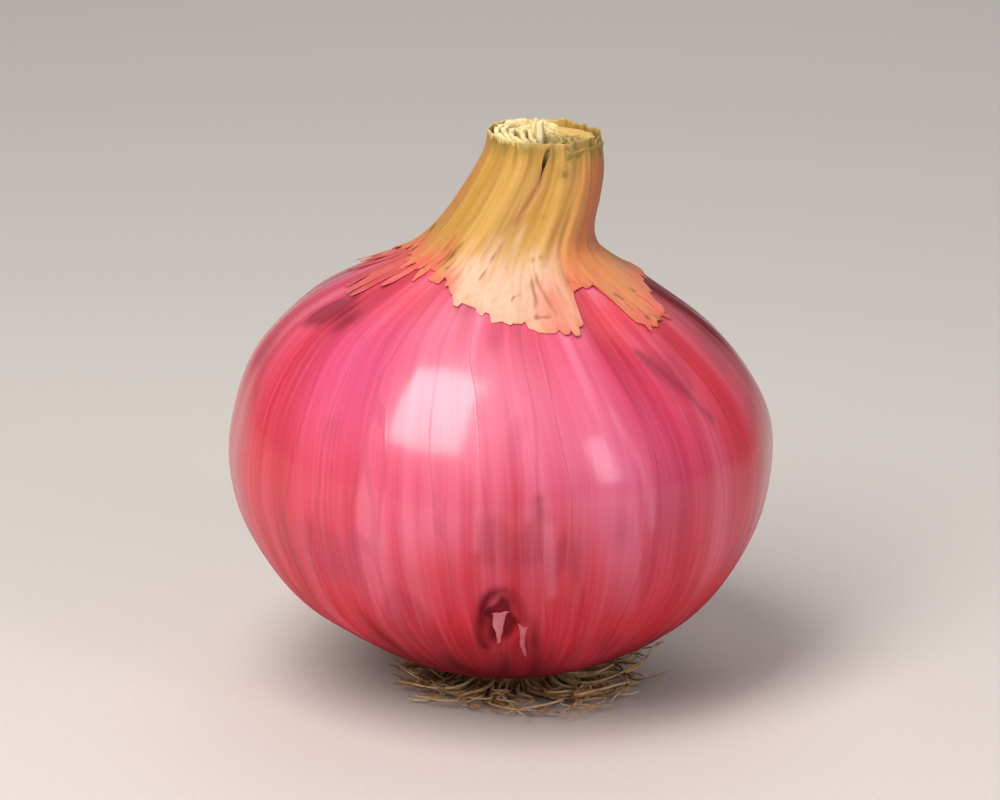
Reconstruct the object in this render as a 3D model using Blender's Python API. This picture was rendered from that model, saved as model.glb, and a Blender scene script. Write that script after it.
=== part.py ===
"""A red onion standing upright on its root plate.

Metres, +Z up. The origin is the centre of the small flat spot that the onion rests on, and the
onion's best side faces -Y. The bulb and its neck grew as one piece and are one solid. The dry skin
that wraps the neck and ends in a torn hem on the shoulders is a loose sheet of its own, and so is
the corky root plate with its dead roots.
"""

import math
import random

import bpy
import numpy as np
from mathutils import Vector

MM = 0.001

# Driving sizes of the bulb
BULB_RADIUS = 28.8 * MM
EQUATOR_HEIGHT = 26.0 * MM
DEPTH_BELOW = 24.6 * MM  # from the widest ring down to the bulb's rounded underside
RISE_ABOVE = 21.5 * MM  # from the widest ring up to where the shoulders would close without a neck
SHOULDER_ANGLE = math.radians(49)  # the shoulders turn up into the neck here
NECK_FOOT = (6.8 * MM, 26.4 * MM)  # radius, and height above the widest ring
NECK_RIM = (5.1 * MM, 33.2 * MM)
SHOULDER_REACH = 9.5 * MM  # how far the shoulder's slope runs on into the hollow curve
NECK_REACH = 6.5 * MM  # how far the neck's slope runs down into it

# How the middle line strays: the belly and shoulders to -X, the neck to +X and back
BELLY_SHIFT = -0.8 * MM
SHOULDER_SHIFT = -1.4 * MM
NECK_LEAN = 6.2 * MM
NECK_SET_BACK = 1.2 * MM

# Unevenness of the belly, as shares of its radius
TWO_LOBES = 0.007
THREE_LOBES = 0.008
FLAT_CHEEK = -0.035  # low down on one side, which grew flatter
CHEEK_BEARING = math.radians(222)

# The lengthwise pleats of the skin
PLEATS = 16
BELLY_PLEAT = 0.08 * MM
NECK_PLEAT = 0.22 * MM
PLEAT_WANDER = 0.5

# The dimple that holds the root plate, as radius and height over the floor
DIMPLE = [(0.0, 3.6 * MM), (4.0 * MM, 3.55 * MM), (6.6 * MM, 3.3 * MM), (7.9 * MM, 2.6 * MM)]
UNDERSIDE_RADIUS = 8.5 * MM

# The cut end of the neck: rolled leaf bases, as share of the rim's radius and depth under the rim
NECK_END = [
    (0.83, 0.15 * MM),
    (0.74, 1.9 * MM),
    (0.6, 2.0 * MM),
    (0.52, 0.7 * MM),
    (0.4, 0.9 * MM),
    (0.3, 2.6 * MM),
]
NECK_PIT = 2.9 * MM
UNEVEN_CUT = 0.25 * MM

# The dry skin
SKIN_GAP = 0.35 * MM
SKIN_THICKNESS = 0.6 * MM
SKIN_RIM_RISE = 0.9 * MM  # the skin's ragged end stands this much over the neck inside it
HEM_RADIUS = 15.0 * MM  # distance of the torn hem from the onion's middle line, before its tongues
# Tongues that the hem runs down in, and bays where it has peeled back: bearing, half width, reach
TONGUES = [
    (math.radians(-77), math.radians(25), 3.4 * MM),
    (math.radians(-128), math.radians(24), -3.6 * MM),
    (math.radians(176), math.radians(28), 3.2 * MM),
    (math.radians(-22), math.radians(30), 4.0 * MM),
    (math.radians(62), math.radians(26), 1.8 * MM),
    (math.radians(118), math.radians(24), -1.6 * MM),
]
TEAR_COUNT = 24
TEAR_DEPTH = (0.7 * MM, 3.0 * MM)
TEAR_WIDTH = (math.radians(6), math.radians(14))
SPLIT_BEARING = math.radians(-82)  # the split in the skin's rim faces the front
SPLIT_DEPTH = 4.6 * MM
SPLIT_WIDTH = math.radians(8)
RIM_WAVE = 0.45 * MM
RIM_NICKS = 0.3 * MM
SKIN_SEGMENTS = 96
SKIN_STEPS = 9

# The root plate, as radius and height over the floor, and its roots
PLATE = [
    (5.6 * MM, 0.0),
    (7.0 * MM, 0.7 * MM),
    (7.4 * MM, 1.5 * MM),
    (7.2 * MM, 2.2 * MM),
    (6.2 * MM, 2.9 * MM),
]
PLATE_TOP = 3.15 * MM
ROOT_COUNT = 34
ROOT_LENGTH = (5.0 * MM, 11.5 * MM)
LONG_SIDE = math.radians(-25)  # the tuft is longest on this side
SHORT_SIDE_SHARE = 0.45  # and the roots opposite are this much of the length there
ROOT_THICKNESS = (0.95 * MM, 0.6 * MM)  # at the plate and at the tip
ROOT_START = 5.2 * MM  # how far from the middle their buried ends lie
ROOT_SINK = 1.8 * MM
ROOT_HEIGHT = 1.25 * MM  # where they leave the plate
ROOT_DROP = 0.6 * MM
ROOT_TIP_LIFT = 1.4 * MM
ROOT_BEND = 0.9  # most that a root turns aside, in radians
ROOT_SIDES = 4
ROOT_STEPS = 7

SEGMENTS = 64
PLATE_SEGMENTS = 32
BELLY_STEPS = 15
HOLLOW_STEPS = 6
NECK_STEPS = 4

SKIN_COLOUR = (0.62, 0.09, 0.16)
STRAW_COLOUR = (0.72, 0.44, 0.15)
ROOT_COLOUR = (0.42, 0.28, 0.13)

TURN = 2 * math.pi


def clear_scene():
    for obj in list(bpy.data.objects):
        bpy.data.objects.remove(obj)


def smooth(low, high, value):
    """0 below low, 1 above high, and an even ramp between them."""
    share = min(1.0, max(0.0, (value - low) / (high - low)))
    return share * share * (3 - 2 * share)


def bezier(ends, handles, share):
    """A point of the cubic curve that leaves one end towards its handle and meets the other from its own."""
    weights = ((1 - share) ** 3, 3 * share * (1 - share) ** 2, 3 * share**2 * (1 - share), share**3)
    points = (ends[0], handles[0], handles[1], ends[1])
    return tuple(sum(w * p[k] for w, p in zip(weights, points)) for k in (0, 1))


def belly_point(angle):
    """Radius and height of the rounded belly at an angle above or below the widest ring."""
    depth = RISE_ABOVE if angle > 0 else DEPTH_BELOW
    return BULB_RADIUS * math.cos(angle), EQUATOR_HEIGHT + depth * math.sin(angle)


def hollow_curve(share):
    """The hollow curve from the shoulders up to the neck's foot."""
    start = belly_point(SHOULDER_ANGLE)
    slope = Vector((-BULB_RADIUS * math.sin(SHOULDER_ANGLE), RISE_ABOVE * math.cos(SHOULDER_ANGLE)))
    slope.normalize()
    end = (NECK_FOOT[0], EQUATOR_HEIGHT + NECK_FOOT[1])
    taper = Vector((NECK_RIM[0] - NECK_FOOT[0], NECK_RIM[1] - NECK_FOOT[1])).normalized()
    leaving = (start[0] + slope.x * SHOULDER_REACH, start[1] + slope.y * SHOULDER_REACH)
    arriving = (end[0] - taper.x * NECK_REACH, end[1] - taper.y * NECK_REACH)
    return bezier((start, end), (leaving, arriving), share)


def neck_point(share):
    """The neck's slightly waisted side, from its foot to its rim."""
    radius = NECK_FOOT[0] + (NECK_RIM[0] - NECK_FOOT[0]) * (1 - (1 - share) ** 1.3)
    return radius, EQUATOR_HEIGHT + NECK_FOOT[1] + (NECK_RIM[1] - NECK_FOOT[1]) * share


def outline(belly_steps, hollow_steps, neck_steps):
    """The bulb's side as (radius, height) pairs, from the edge of its dimple to the neck's rim."""
    lowest = -math.acos(UNDERSIDE_RADIUS / BULB_RADIUS)
    angles = [lowest + (SHOULDER_ANGLE - lowest) * k / belly_steps for k in range(belly_steps + 1)]
    points = [belly_point(angle) for angle in angles]
    points += [hollow_curve(k / hollow_steps) for k in range(1, hollow_steps + 1)]
    points += [neck_point(k / neck_steps) for k in range(1, neck_steps + 1)]
    return points


def sway(height):
    """How far the onion's middle line stands off the flat spot's centre at a height."""
    level = height - EQUATOR_HEIGHT
    belly = BELLY_SHIFT * smooth(-DEPTH_BELOW, 0, level)
    shoulder = SHOULDER_SHIFT * smooth(2 * MM, 18 * MM, level)
    neck = NECK_LEAN * smooth(15 * MM, 33 * MM, level)
    return belly + shoulder + neck, NECK_SET_BACK * smooth(12 * MM, 35 * MM, level)


def lobes(bearing, height):
    """Broad unevenness of the belly, as a share of its radius. It fades out at the base and on the neck."""
    level = (height - EQUATOR_HEIGHT) / DEPTH_BELOW
    amount = smooth(-1.0, -0.6, level) * (1 - smooth(0.7, 1.0, level))
    wide = TWO_LOBES * math.cos(2 * (bearing - 0.2)) + THREE_LOBES * math.cos(3 * bearing + 1.1)
    low_down = math.exp(-(((level + 0.8) / 0.2) ** 2)) * smooth(-1.0, -0.8, level)
    return amount * wide + FLAT_CHEEK * low_down * max(0.0, math.cos(bearing - CHEEK_BEARING))


def pleats(bearing, radius, height):
    """Height of the pleats: low on the belly, deeper where the leaf bases draw together at the neck."""
    drawn_in = smooth(16 * MM, 26 * MM, height - EQUATOR_HEIGHT)
    depth = BELLY_PLEAT + (NECK_PLEAT - BELLY_PLEAT) * drawn_in
    wander = PLEAT_WANDER * math.sin(3 * bearing + 0.7)
    fade = smooth(4 * MM, 12 * MM, height) * min(1.0, radius / NECK_RIM[0])
    return depth * fade * math.cos(PLEATS * bearing + wander)


def on_bulb(bearing, radius, height, normal=(1.0, 0.0), lift=0.0):
    """A place on the bulb at a bearing round its middle line, lifted off it along its outline's normal."""
    lean_x, lean_y = sway(height)
    reach = radius * (1 + lobes(bearing, height)) + pleats(bearing, radius, height) + normal[0] * lift
    return Vector((
        lean_x + reach * math.cos(bearing),
        lean_y + reach * math.sin(bearing),
        height + normal[1] * lift,
    ))


def bearings(count):
    return [TURN * k / count for k in range(count)]


def ring(radius, height):
    return [on_bulb(bearing, radius, height) for bearing in bearings(SEGMENTS)]


def material(name, colour, roughness):
    made = bpy.data.materials.new(name)
    made.use_nodes = True
    shader = made.node_tree.nodes["Principled BSDF"]
    shader.inputs["Base Color"].default_value = (*colour, 1.0)
    shader.inputs["Roughness"].default_value = roughness
    shader.inputs["Metallic"].default_value = 0.0
    return made


def object_from_rings(name, rings, finish, looped=False, start=None, end=None):
    """A solid from rings of equal count, joined into a loop or else closed on a point at each end."""
    count = len(rings[0])
    points = [point for one in rings for point in one]
    faces = []
    spans = range(len(rings)) if looped else range(len(rings) - 1)
    for low in spans:
        high = (low + 1) % len(rings)
        for k in range(count):
            near, far = low * count + k, low * count + (k + 1) % count
            near_up, far_up = high * count + k, high * count + (k + 1) % count
            faces += [(near, far, far_up), (near, far_up, near_up)]
    if not looped:
        points += [start, end]
        first, last = len(points) - 2, len(points) - 1
        top = (len(rings) - 1) * count
        for k in range(count):
            faces.append((first, (k + 1) % count, k))
            faces.append((last, top + k, top + (k + 1) % count))
    mesh = bpy.data.meshes.new(name)
    mesh.from_pydata(points, [], faces)
    mesh.update()
    mesh.shade_smooth()
    mesh.set_sharp_from_angle(angle=math.radians(50))
    mesh.materials.append(finish)
    made = bpy.data.objects.new(name, mesh)
    bpy.context.scene.collection.objects.link(made)
    return made


def make_bulb():
    """The bulb with its neck, dimpled below for the root plate, with rolled leaf bases in its cut end."""
    rings = [ring(radius, height) for radius, height in DIMPLE[1:]]
    rings += [ring(radius, height) for radius, height in outline(BELLY_STEPS, HOLLOW_STEPS, NECK_STEPS)]
    rim_radius, rim_height = neck_point(1.0)
    for share, depth in NECK_END:
        cut = ring(share * rim_radius, rim_height - depth)
        for bearing, point in zip(bearings(SEGMENTS), cut):
            point.z += UNEVEN_CUT * math.sin(3 * bearing + 9 * share)
        rings.append(cut)
    pit = Vector((*sway(rim_height), rim_height - NECK_PIT))
    finish = material("bulb_skin", SKIN_COLOUR, 0.25)
    return object_from_rings("bulb", rings, finish, start=Vector((0, 0, DIMPLE[0][1])), end=pit)


def turned_from(bearing, other):
    """The angle between two bearings, never over half a turn."""
    return abs((bearing - other + math.pi) % TURN - math.pi)


def hem_radius(bearing, tears):
    """Distance of the torn hem from the middle line: wide tongues and bays, with pointed tears."""
    reach = HEM_RADIUS
    for middle, half_width, length in TONGUES:
        reach += length * (1 - smooth(0.25 * half_width, half_width, turned_from(bearing, middle)))
    bite = max(depth * (1 - turned_from(bearing, at) / width) for at, depth, width in tears)
    return reach - max(0.0, bite)


def ragged_edge(bearing):
    """Unevenness of the skin's cut end."""
    nicks = math.sin(8 * bearing) * math.cos(13 * bearing)
    return RIM_WAVE * math.sin(3 * bearing + 2.6) + RIM_NICKS * nicks


def drawn_tears():
    """(bearing, depth, width) of each pointed tear, spread round the hem."""
    draw = random.Random(11)
    tears = []
    for k in range(TEAR_COUNT):
        at = TURN * (k + draw.uniform(0.1, 0.9)) / TEAR_COUNT
        tears.append((at, draw.uniform(*TEAR_DEPTH), draw.uniform(*TEAR_WIDTH)))
    return tears


def make_dry_skin():
    """The loose papery skin round the neck: a thin sheet, ragged and split at its end, torn at its hem."""
    tears = drawn_tears()
    shoulders = [point for point in outline(60, 40, 20) if point[1] > EQUATOR_HEIGHT]
    rim_height = shoulders[-1][1]
    side = np.array([*shoulders, (NECK_RIM[0], rim_height + 2 * SKIN_RIM_RISE)])
    lengths = np.concatenate([[0.0], np.cumsum(np.linalg.norm(np.diff(side, axis=0), axis=1))])
    slopes = np.gradient(side, axis=0)
    slopes /= np.linalg.norm(slopes, axis=1)[:, None]
    inner, outer = [], []
    for bearing in bearings(SKIN_SEGMENTS):
        split = SPLIT_DEPTH * max(0.0, 1 - turned_from(bearing, SPLIT_BEARING) / SPLIT_WIDTH)
        end_height = rim_height + SKIN_RIM_RISE + ragged_edge(bearing) - split
        hem = np.interp(-hem_radius(bearing, tears), -side[:, 0], lengths)
        end = np.interp(end_height, side[:, 1], lengths)
        inside, outside = [], []
        for place in np.linspace(hem, end, SKIN_STEPS + 1):
            radius, height = (np.interp(place, lengths, side[:, i]) for i in (0, 1))
            along = [np.interp(place, lengths, slopes[:, i]) for i in (0, 1)]
            normal = (along[1], -along[0])
            inside.append(on_bulb(bearing, radius, height, normal, SKIN_GAP))
            outside.append(on_bulb(bearing, radius, height, normal, SKIN_GAP + SKIN_THICKNESS))
        inner.append(inside)
        outer.append(outside)
    down_inside = [[column[i] for column in inner] for i in range(SKIN_STEPS, -1, -1)]
    up_outside = [[column[i] for column in outer] for i in range(SKIN_STEPS + 1)]
    finish = material("dry_skin", STRAW_COLOUR, 0.6)
    return object_from_rings("dry_skin", down_inside + up_outside, finish, looped=True)


def make_plate(finish):
    rings = [
        [Vector((radius * math.cos(a), radius * math.sin(a), height)) for a in bearings(PLATE_SEGMENTS)]
        for radius, height in PLATE
    ]
    return object_from_rings("root_tuft", rings, finish, start=Vector(), end=Vector((0, 0, PLATE_TOP)))


def root_path(bearing, length, draw):
    """A root's middle line: out through the plate's side, along the floor, and a little up at its tip."""
    turn_by = draw.uniform(-ROOT_BEND, ROOT_BEND)
    lift = draw.uniform(0.0, ROOT_TIP_LIFT)
    points = []
    for k in range(ROOT_STEPS + 1):
        share = k / ROOT_STEPS
        distance = ROOT_START + (ROOT_SINK + length) * share
        heading = bearing + turn_by * share * share * length / ROOT_LENGTH[1]
        height = ROOT_HEIGHT - ROOT_DROP * smooth(0.1, 0.5, share) + lift * share**3
        points.append(Vector((distance * math.cos(heading), distance * math.sin(heading), height)))
    return points


def make_root(name, points, finish):
    """A tapered root of few sides along its middle line."""
    rings = []
    for k, point in enumerate(points):
        ahead = points[min(k + 1, len(points) - 1)] - points[max(k - 1, 0)]
        across = ahead.cross(Vector((0, 0, 1))).normalized()
        below = ahead.cross(across).normalized()
        share = k / (len(points) - 1)
        radius = (ROOT_THICKNESS[0] + (ROOT_THICKNESS[1] - ROOT_THICKNESS[0]) * share) / 2
        corners = (TURN * (j + 0.5) / ROOT_SIDES for j in range(ROOT_SIDES))
        rings.append([point + (across * math.cos(a) + below * math.sin(a)) * radius for a in corners])
    return object_from_rings(name, rings[1:-1], finish, start=points[0], end=points[-1])


def fuse(target, pieces):
    """Joins the pieces to the target by one Boolean union, applies it, and removes them."""
    group = bpy.data.collections.new("pieces_to_fuse")
    bpy.context.scene.collection.children.link(group)
    for piece in pieces:
        bpy.context.scene.collection.objects.unlink(piece)
        group.objects.link(piece)
    union = target.modifiers.new("union", "BOOLEAN")
    union.operation = "UNION"
    union.operand_type = "COLLECTION"
    union.collection = group
    union.solver = "MANIFOLD"
    bpy.context.view_layer.update()
    graph = bpy.context.evaluated_depsgraph_get()
    joined = bpy.data.meshes.new_from_object(target.evaluated_get(graph))
    target.modifiers.clear()
    target.data = joined
    for piece in pieces:
        bpy.data.objects.remove(piece)
    bpy.data.collections.remove(group)


def make_root_tuft():
    """The corky plate that the onion stands on, with dead roots spread over the floor round it."""
    draw = random.Random(5)
    finish = material("root_tuft", ROOT_COLOUR, 0.85)
    plate = make_plate(finish)
    roots = []
    for k in range(ROOT_COUNT):
        bearing = TURN * (k + draw.uniform(-0.3, 0.3)) / ROOT_COUNT
        towards_long = (1 + math.cos(bearing - LONG_SIDE)) / 2
        length = draw.uniform(*ROOT_LENGTH) * (SHORT_SIDE_SHARE + (1 - SHORT_SIDE_SHARE) * towards_long)
        roots.append(make_root(f"root_{k:02d}", root_path(bearing, length, draw), finish))
    fuse(plate, roots)
    return plate


def main():
    clear_scene()
    onion = bpy.data.objects.new("onion", None)
    bpy.context.scene.collection.objects.link(onion)
    for piece in (make_bulb(), make_dry_skin(), make_root_tuft()):
        piece.parent = onion


main()
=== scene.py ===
import math

import bmesh
import bpy
import numpy as np
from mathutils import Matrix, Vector


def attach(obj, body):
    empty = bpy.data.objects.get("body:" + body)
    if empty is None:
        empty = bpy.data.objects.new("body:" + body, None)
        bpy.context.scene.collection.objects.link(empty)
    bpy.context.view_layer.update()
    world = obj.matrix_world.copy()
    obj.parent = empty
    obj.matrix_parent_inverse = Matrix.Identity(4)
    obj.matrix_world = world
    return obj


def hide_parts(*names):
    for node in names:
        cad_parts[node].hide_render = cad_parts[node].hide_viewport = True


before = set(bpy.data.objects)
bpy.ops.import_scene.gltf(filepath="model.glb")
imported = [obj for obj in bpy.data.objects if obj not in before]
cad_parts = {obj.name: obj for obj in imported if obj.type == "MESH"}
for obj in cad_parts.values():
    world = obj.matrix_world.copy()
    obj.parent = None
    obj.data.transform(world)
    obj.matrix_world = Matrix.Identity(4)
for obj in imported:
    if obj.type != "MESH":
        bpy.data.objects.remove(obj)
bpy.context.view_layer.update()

# A red onion standing on its root plate. All shape work below is in millimetres, in the packed
# model's frame: the origin is under the root plate, +Z is up and -Y is the onion's best side.
# "bearing" is the angle round the onion's middle line and "along" is the length up its side,
# measured from the edge of the dimple below to the rim of the neck.

toMetres = 0.001
perMetre = 1000  # mm in a metre, the unit of the object coordinates that the materials read
turn = 2 * math.pi

# The onion's main form, with the same values as its solids. Only the pleats of the neck are shallower
# (0.22 in the solids), as its dried skin is nearly smooth.
form = {
    "radius": 28.8, "equator": 26.0, "depthBelow": 24.6, "riseAbove": 21.5, "undersideRadius": 8.5,
    # the neck: radius and height over the equator
    "neckFoot": (6.8, 26.4), "neckRim": (5.1, 33.2),
    # the hollow between belly and neck
    "shoulderAngle": math.radians(49), "shoulderReach": 9.5, "neckReach": 6.5,
    # how the middle line strays, to the left at the belly and shoulder, to the right and back at the neck
    "bellyShift": -0.8, "shoulderShift": -1.4, "neckLean": 6.2, "neckSetBack": 1.2,
    # how the section strays from a circle, as shares of the radius
    "twoLobes": 0.007, "threeLobes": 0.008, "flatCheek": -0.035, "cheekBearing": 222,
    "pleats": 16, "bellyPleat": 0.08, "neckPleat": 0.09, "pleatWander": 0.5,
}


# Helpers for shape, all on numpy arrays

def smooth(low, high, value):
    share = np.clip((value - low) / (high - low), 0, 1)
    return share * share * (3 - 2 * share)


def plateau(start, full, fall, end, value):  # 1 between full and fall, 0 outside start and end
    return smooth(start, full, value) * smooth(end, fall, value)


def bump(value, middle, width):  # 1 at the middle, falling off softly over the width
    return np.exp(-(((value - middle) / width) ** 2))


def joined(*parts):  # numbers and arrays as one array of places
    return np.stack(np.broadcast_arrays(*parts), axis=-1)


def relief(points, spacing, seed, count=26):
    # even random swelling, about -1 to 1, with humps about "spacing" apart
    draw = np.random.default_rng(seed)
    heading = draw.normal(size=(count, 3))
    heading /= np.linalg.norm(heading, axis=1)[:, None]
    waves = turn / (spacing * draw.uniform(0.7, 1.6, count))
    angle = points @ (heading * waves[:, None]).T + draw.uniform(0, turn, count)
    return np.sin(angle).sum(-1) / math.sqrt(count)


def lengthsOf(line):  # how far along the line each of its points lies
    return np.concatenate([[0], np.cumsum(np.linalg.norm(np.diff(line, axis=0), axis=1))])


overRim = 20  # points of the outline that carry it straight on over the rim
columnRadius = 28


def outlineOfSide():
    radius, equator = form["radius"], form["equator"]
    corner = form["shoulderAngle"]
    angle = np.linspace(-math.acos(form["undersideRadius"] / radius), corner, 300)
    tall = np.where(angle > 0, form["riseAbove"], form["depthBelow"])
    belly = np.column_stack([radius * np.cos(angle), equator + tall * np.sin(angle)])
    slope = np.array([-radius * math.sin(corner), form["riseAbove"] * math.cos(corner)])
    slope /= np.linalg.norm(slope)
    foot, rim = (np.array(form[key]) + [0, equator] for key in ("neckFoot", "neckRim"))
    taper = (rim - foot) / np.linalg.norm(rim - foot)
    top = belly[-1]
    corners = [top, top + slope * form["shoulderReach"], foot - taper * form["neckReach"], foot]
    t = np.linspace(0, 1, 200)[1:, None]
    weights = ((1 - t) ** 3, 3 * t * (1 - t) ** 2, 3 * t**2 * (1 - t), t**3)
    hollow = sum(w * c for w, c in zip(weights, corners))
    t = t[:, 0]
    neck = foot + (rim - foot) * np.column_stack([1 - (1 - t) ** 1.3, t])
    over = rim + np.column_stack([np.zeros(overRim), np.linspace(0.15, 3, overRim)])
    line = np.vstack([belly, hollow, neck, over])
    along = lengthsOf(line)
    way = np.gradient(line, along, axis=0)
    way /= np.linalg.norm(way, axis=1)[:, None]
    return {"radius": line[:, 0], "height": line[:, 1], "along": along, "out": way[:, 1], "up": -way[:, 0]}


def onOutline(along, part):
    return np.interp(along, side["along"], side[part])


side = outlineOfSide()
rimHeight = form["equator"] + form["neckRim"][1]
rimAlong = float(side["along"][-1 - overRim])


def sway(height):  # how the middle line strays
    level = height - form["equator"]
    x = form["bellyShift"] * smooth(-form["depthBelow"], 0, level)
    x += form["shoulderShift"] * smooth(2, 18, level) + form["neckLean"] * smooth(15, 33, level)
    return x, form["neckSetBack"] * smooth(12, 35, level)


def lobes(bearing, height):
    level = (height - form["equator"]) / form["depthBelow"]
    amount = plateau(-1.0, -0.6, 0.7, 1.0, level)
    wide = form["twoLobes"] * np.cos(2 * (bearing - 0.2)) + form["threeLobes"] * np.cos(3 * bearing + 1.1)
    lowDown = bump(level, -0.8, 0.2) * smooth(-1.0, -0.8, level)
    cheek = np.maximum(0, towards(bearing, form["cheekBearing"]))
    return amount * wide + form["flatCheek"] * lowDown * cheek


def pleats(bearing, radius, height):
    drawnIn = smooth(16, 26, height - form["equator"])
    depth = form["bellyPleat"] + (form["neckPleat"] - form["bellyPleat"]) * drawnIn
    fade = smooth(4, 12, height) * np.minimum(1, radius / form["neckRim"][0])
    return depth * fade * np.cos(form["pleats"] * bearing + form["pleatWander"] * np.sin(3 * bearing + 0.7))


def placed(bearing, radius, height, out=1.0, up=0.0, lift=0.0):
    leanX, leanY = sway(height)
    reach = radius * (1 + lobes(bearing, height)) + pleats(bearing, radius, height) + out * lift
    return joined(leanX + reach * np.cos(bearing), leanY + reach * np.sin(bearing), height + up * lift)


def onSide(bearing, along, lift=0.0):
    return placed(bearing, *(onOutline(along, part) for part in ("radius", "height", "out", "up")), lift)


def skinSpace(bearing, along):  # the side laid out as a column, for relief that runs lengthwise
    return joined(columnRadius * np.cos(bearing), columnRadius * np.sin(bearing), along)


def skinPlace(bearing, along):  # what the materials read: direction round the onion, and share of the way up
    return joined(np.cos(bearing), np.sin(bearing), along / rimAlong)


def turned(bearing, degrees):  # signed angle from a bearing given in degrees
    return (bearing - math.radians(degrees) + math.pi) % turn - math.pi


def towards(bearing, degrees):  # 1 at a bearing given in degrees, -1 on the far side
    return np.cos(bearing - math.radians(degrees))


def seen(bearing, degrees, spread):  # 1 at a bearing, falling off over the spread, both in degrees
    return bump(turned(bearing, degrees), 0, math.radians(spread))


def facing(bearing, first, last, blur):  # 1 between two bearings, all in degrees
    gone = np.degrees(np.abs(turned(bearing, (first + last) / 2)))
    return smooth((last - first) / 2 + blur, (last - first) / 2 - blur, gone)


def blots(bearing, along, spots):
    # soft patches: amount, middle and spread of its bearing in degrees, middle and spread along
    return sum(amount * seen(bearing, middle, spread) * bump(along, level, tall)
               for amount, middle, spread, level, tall in spots)


def nearLine(bearing, along, path, width):
    # how close a place is to a drawn line of (bearing, along) corners, 1 on it
    radius = onOutline(along, "radius")
    best = np.full(np.broadcast(bearing, along).shape, 99.0)
    for (fromBearing, fromAlong), (toBearing, toAlong) in zip(path, path[1:]):
        x = turned(bearing, fromBearing) * radius
        y = along - fromAlong
        dx = math.radians(toBearing - fromBearing) * radius
        dy = toAlong - fromAlong
        t = np.clip((x * dx + y * dy) / (dx * dx + dy * dy + 1e-9), 0, 1)
        best = np.minimum(best, np.hypot(x - t * dx, y - t * dy))
    return np.exp(-((best / width) ** 2))


def drawnLines(bearing, along, lines):
    return np.clip(sum(nearLine(bearing, along, path, width) for path, width in lines), 0, 1)


def packed(masks):  # three masks each, held as one vector a point
    return {key: np.clip(np.stack(parts, axis=-1), 0, 1) for key, parts in masks.items()}


# Helpers for meshes

def pieceFromMesh(name, points, faces, finish, masks, smoothAngle=60):
    mesh = bpy.data.meshes.new(name)
    mesh.from_pydata((np.asarray(points) * toMetres).tolist(), [], faces)
    mesh.update()
    for key, values in masks.items():
        values = np.asarray(values, dtype=np.float32)
        flat = values.ndim == 1
        layer = mesh.attributes.new(key, "FLOAT" if flat else "FLOAT_VECTOR", "POINT")
        layer.data.foreach_set("value" if flat else "vector", values.ravel())
    mesh.materials.append(finish)
    mesh.shade_smooth()
    mesh.set_sharp_from_angle(angle=math.radians(smoothAngle))
    made = bpy.data.objects.new(name, mesh)
    bpy.context.scene.collection.objects.link(made)
    return made


def gridFaces(rows, columns, wrapped):
    faces = []
    for row in range(rows - 1):
        for column in range(columns if wrapped else columns - 1):
            a, b = row * columns + column, row * columns + (column + 1) % columns
            faces.append((a, b, b + columns, a + columns))
    return faces


def closedFaces(rows, columns):
    # rings of points, closed by two more points after them: the middles of the bottom and of the top
    bottom, top, last = rows * columns, rows * columns + 1, (rows - 1) * columns
    faces = gridFaces(rows, columns, True)
    faces += [(bottom, (k + 1) % columns, k) for k in range(columns)]
    faces += [(top, last + k, last + (k + 1) % columns) for k in range(columns)]
    return faces


def pieceFromParts(name, parts, finish):
    # one piece from grids of points, each with its faces, counted from 0, and its masks
    points, faces, masks = [], [], {key: [] for key in parts[0][2]}
    for grid, own, values in parts:
        first = sum(len(p) for p in points)
        faces += [tuple(first + corner for corner in face) for face in own]
        points.append(grid.reshape(-1, 3))
        for key, value in values.items():
            flat = np.ndim(value) < 3
            masks[key].append(np.broadcast_to(value, grid.shape[:2]).ravel() if flat else value.reshape(-1, 3))
    masks = {key: np.concatenate(values) for key, values in masks.items()}
    return pieceFromMesh(name, np.vstack(points), faces, finish, masks)


def thicken(piece, thickness, offset):  # gives a sheet its thickness in mm: inwards at -1, both ways at 0
    sheet = piece.modifiers.new("sheetThickness", "SOLIDIFY")
    sheet.thickness = thickness * toMetres
    sheet.offset = offset


def dress(piece, slotName, *nodes):
    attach(piece, "root")
    if nodes:
        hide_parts(*nodes)
    return piece


# Helpers for materials

def linear(hexColour):
    values = [int(hexColour[k:k + 2], 16) / 255 for k in (1, 3, 5)]
    return tuple(v / 12.92 if v <= 0.04045 else ((v + 0.055) / 1.055) ** 2.4 for v in values) + (1.0,)


def addNode(tree, kind, settings=None, links=None, ramp=None):
    node = tree.nodes.new("ShaderNode" + kind)
    for key, value in (settings or {}).items():
        if isinstance(value, str) and value.startswith("#"):
            value = linear(value)
        if isinstance(key, str) and hasattr(node, key):
            setattr(node, key, value)
        else:
            node.inputs[key].default_value = value
    for key, source in (links or {}).items():
        tree.links.new(source, node.inputs[key])
    if ramp:
        stops = node.color_ramp.elements
        while len(stops) < len(ramp):
            stops.new(1.0)
        for stop, (position, hexColour) in zip(stops, ramp):
            stop.position = position
            stop.color = linear(hexColour)
    return node


def newFinish(name, settings):
    finish = bpy.data.materials.new(name)
    finish.use_nodes = True
    shader = finish.node_tree.nodes["Principled BSDF"]
    for key, value in settings.items():
        shader.inputs[key].default_value = value
    return finish, finish.node_tree


def layered(tree, source, ramp, layers):
    # a ramp of colours over the source, with more colours laid over it: (mask, its values for none and for
    # all of the colour where they aren't 0 and 1, amount, hex colour)
    colour = addNode(tree, "ValToRGB", links={0: source}, ramp=ramp).outputs[0]
    for mask, *span, amount, hexColour in layers:
        none, full = span or (0.0, 1.0)
        share = addNode(tree, "MapRange", {1: none, 2: full, 4: amount}, {0: mask}).outputs[0]
        colour = addNode(tree, "Mix", {"data_type": "RGBA", 7: hexColour}, {0: share, 6: colour}).outputs[2]
    return colour


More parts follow.
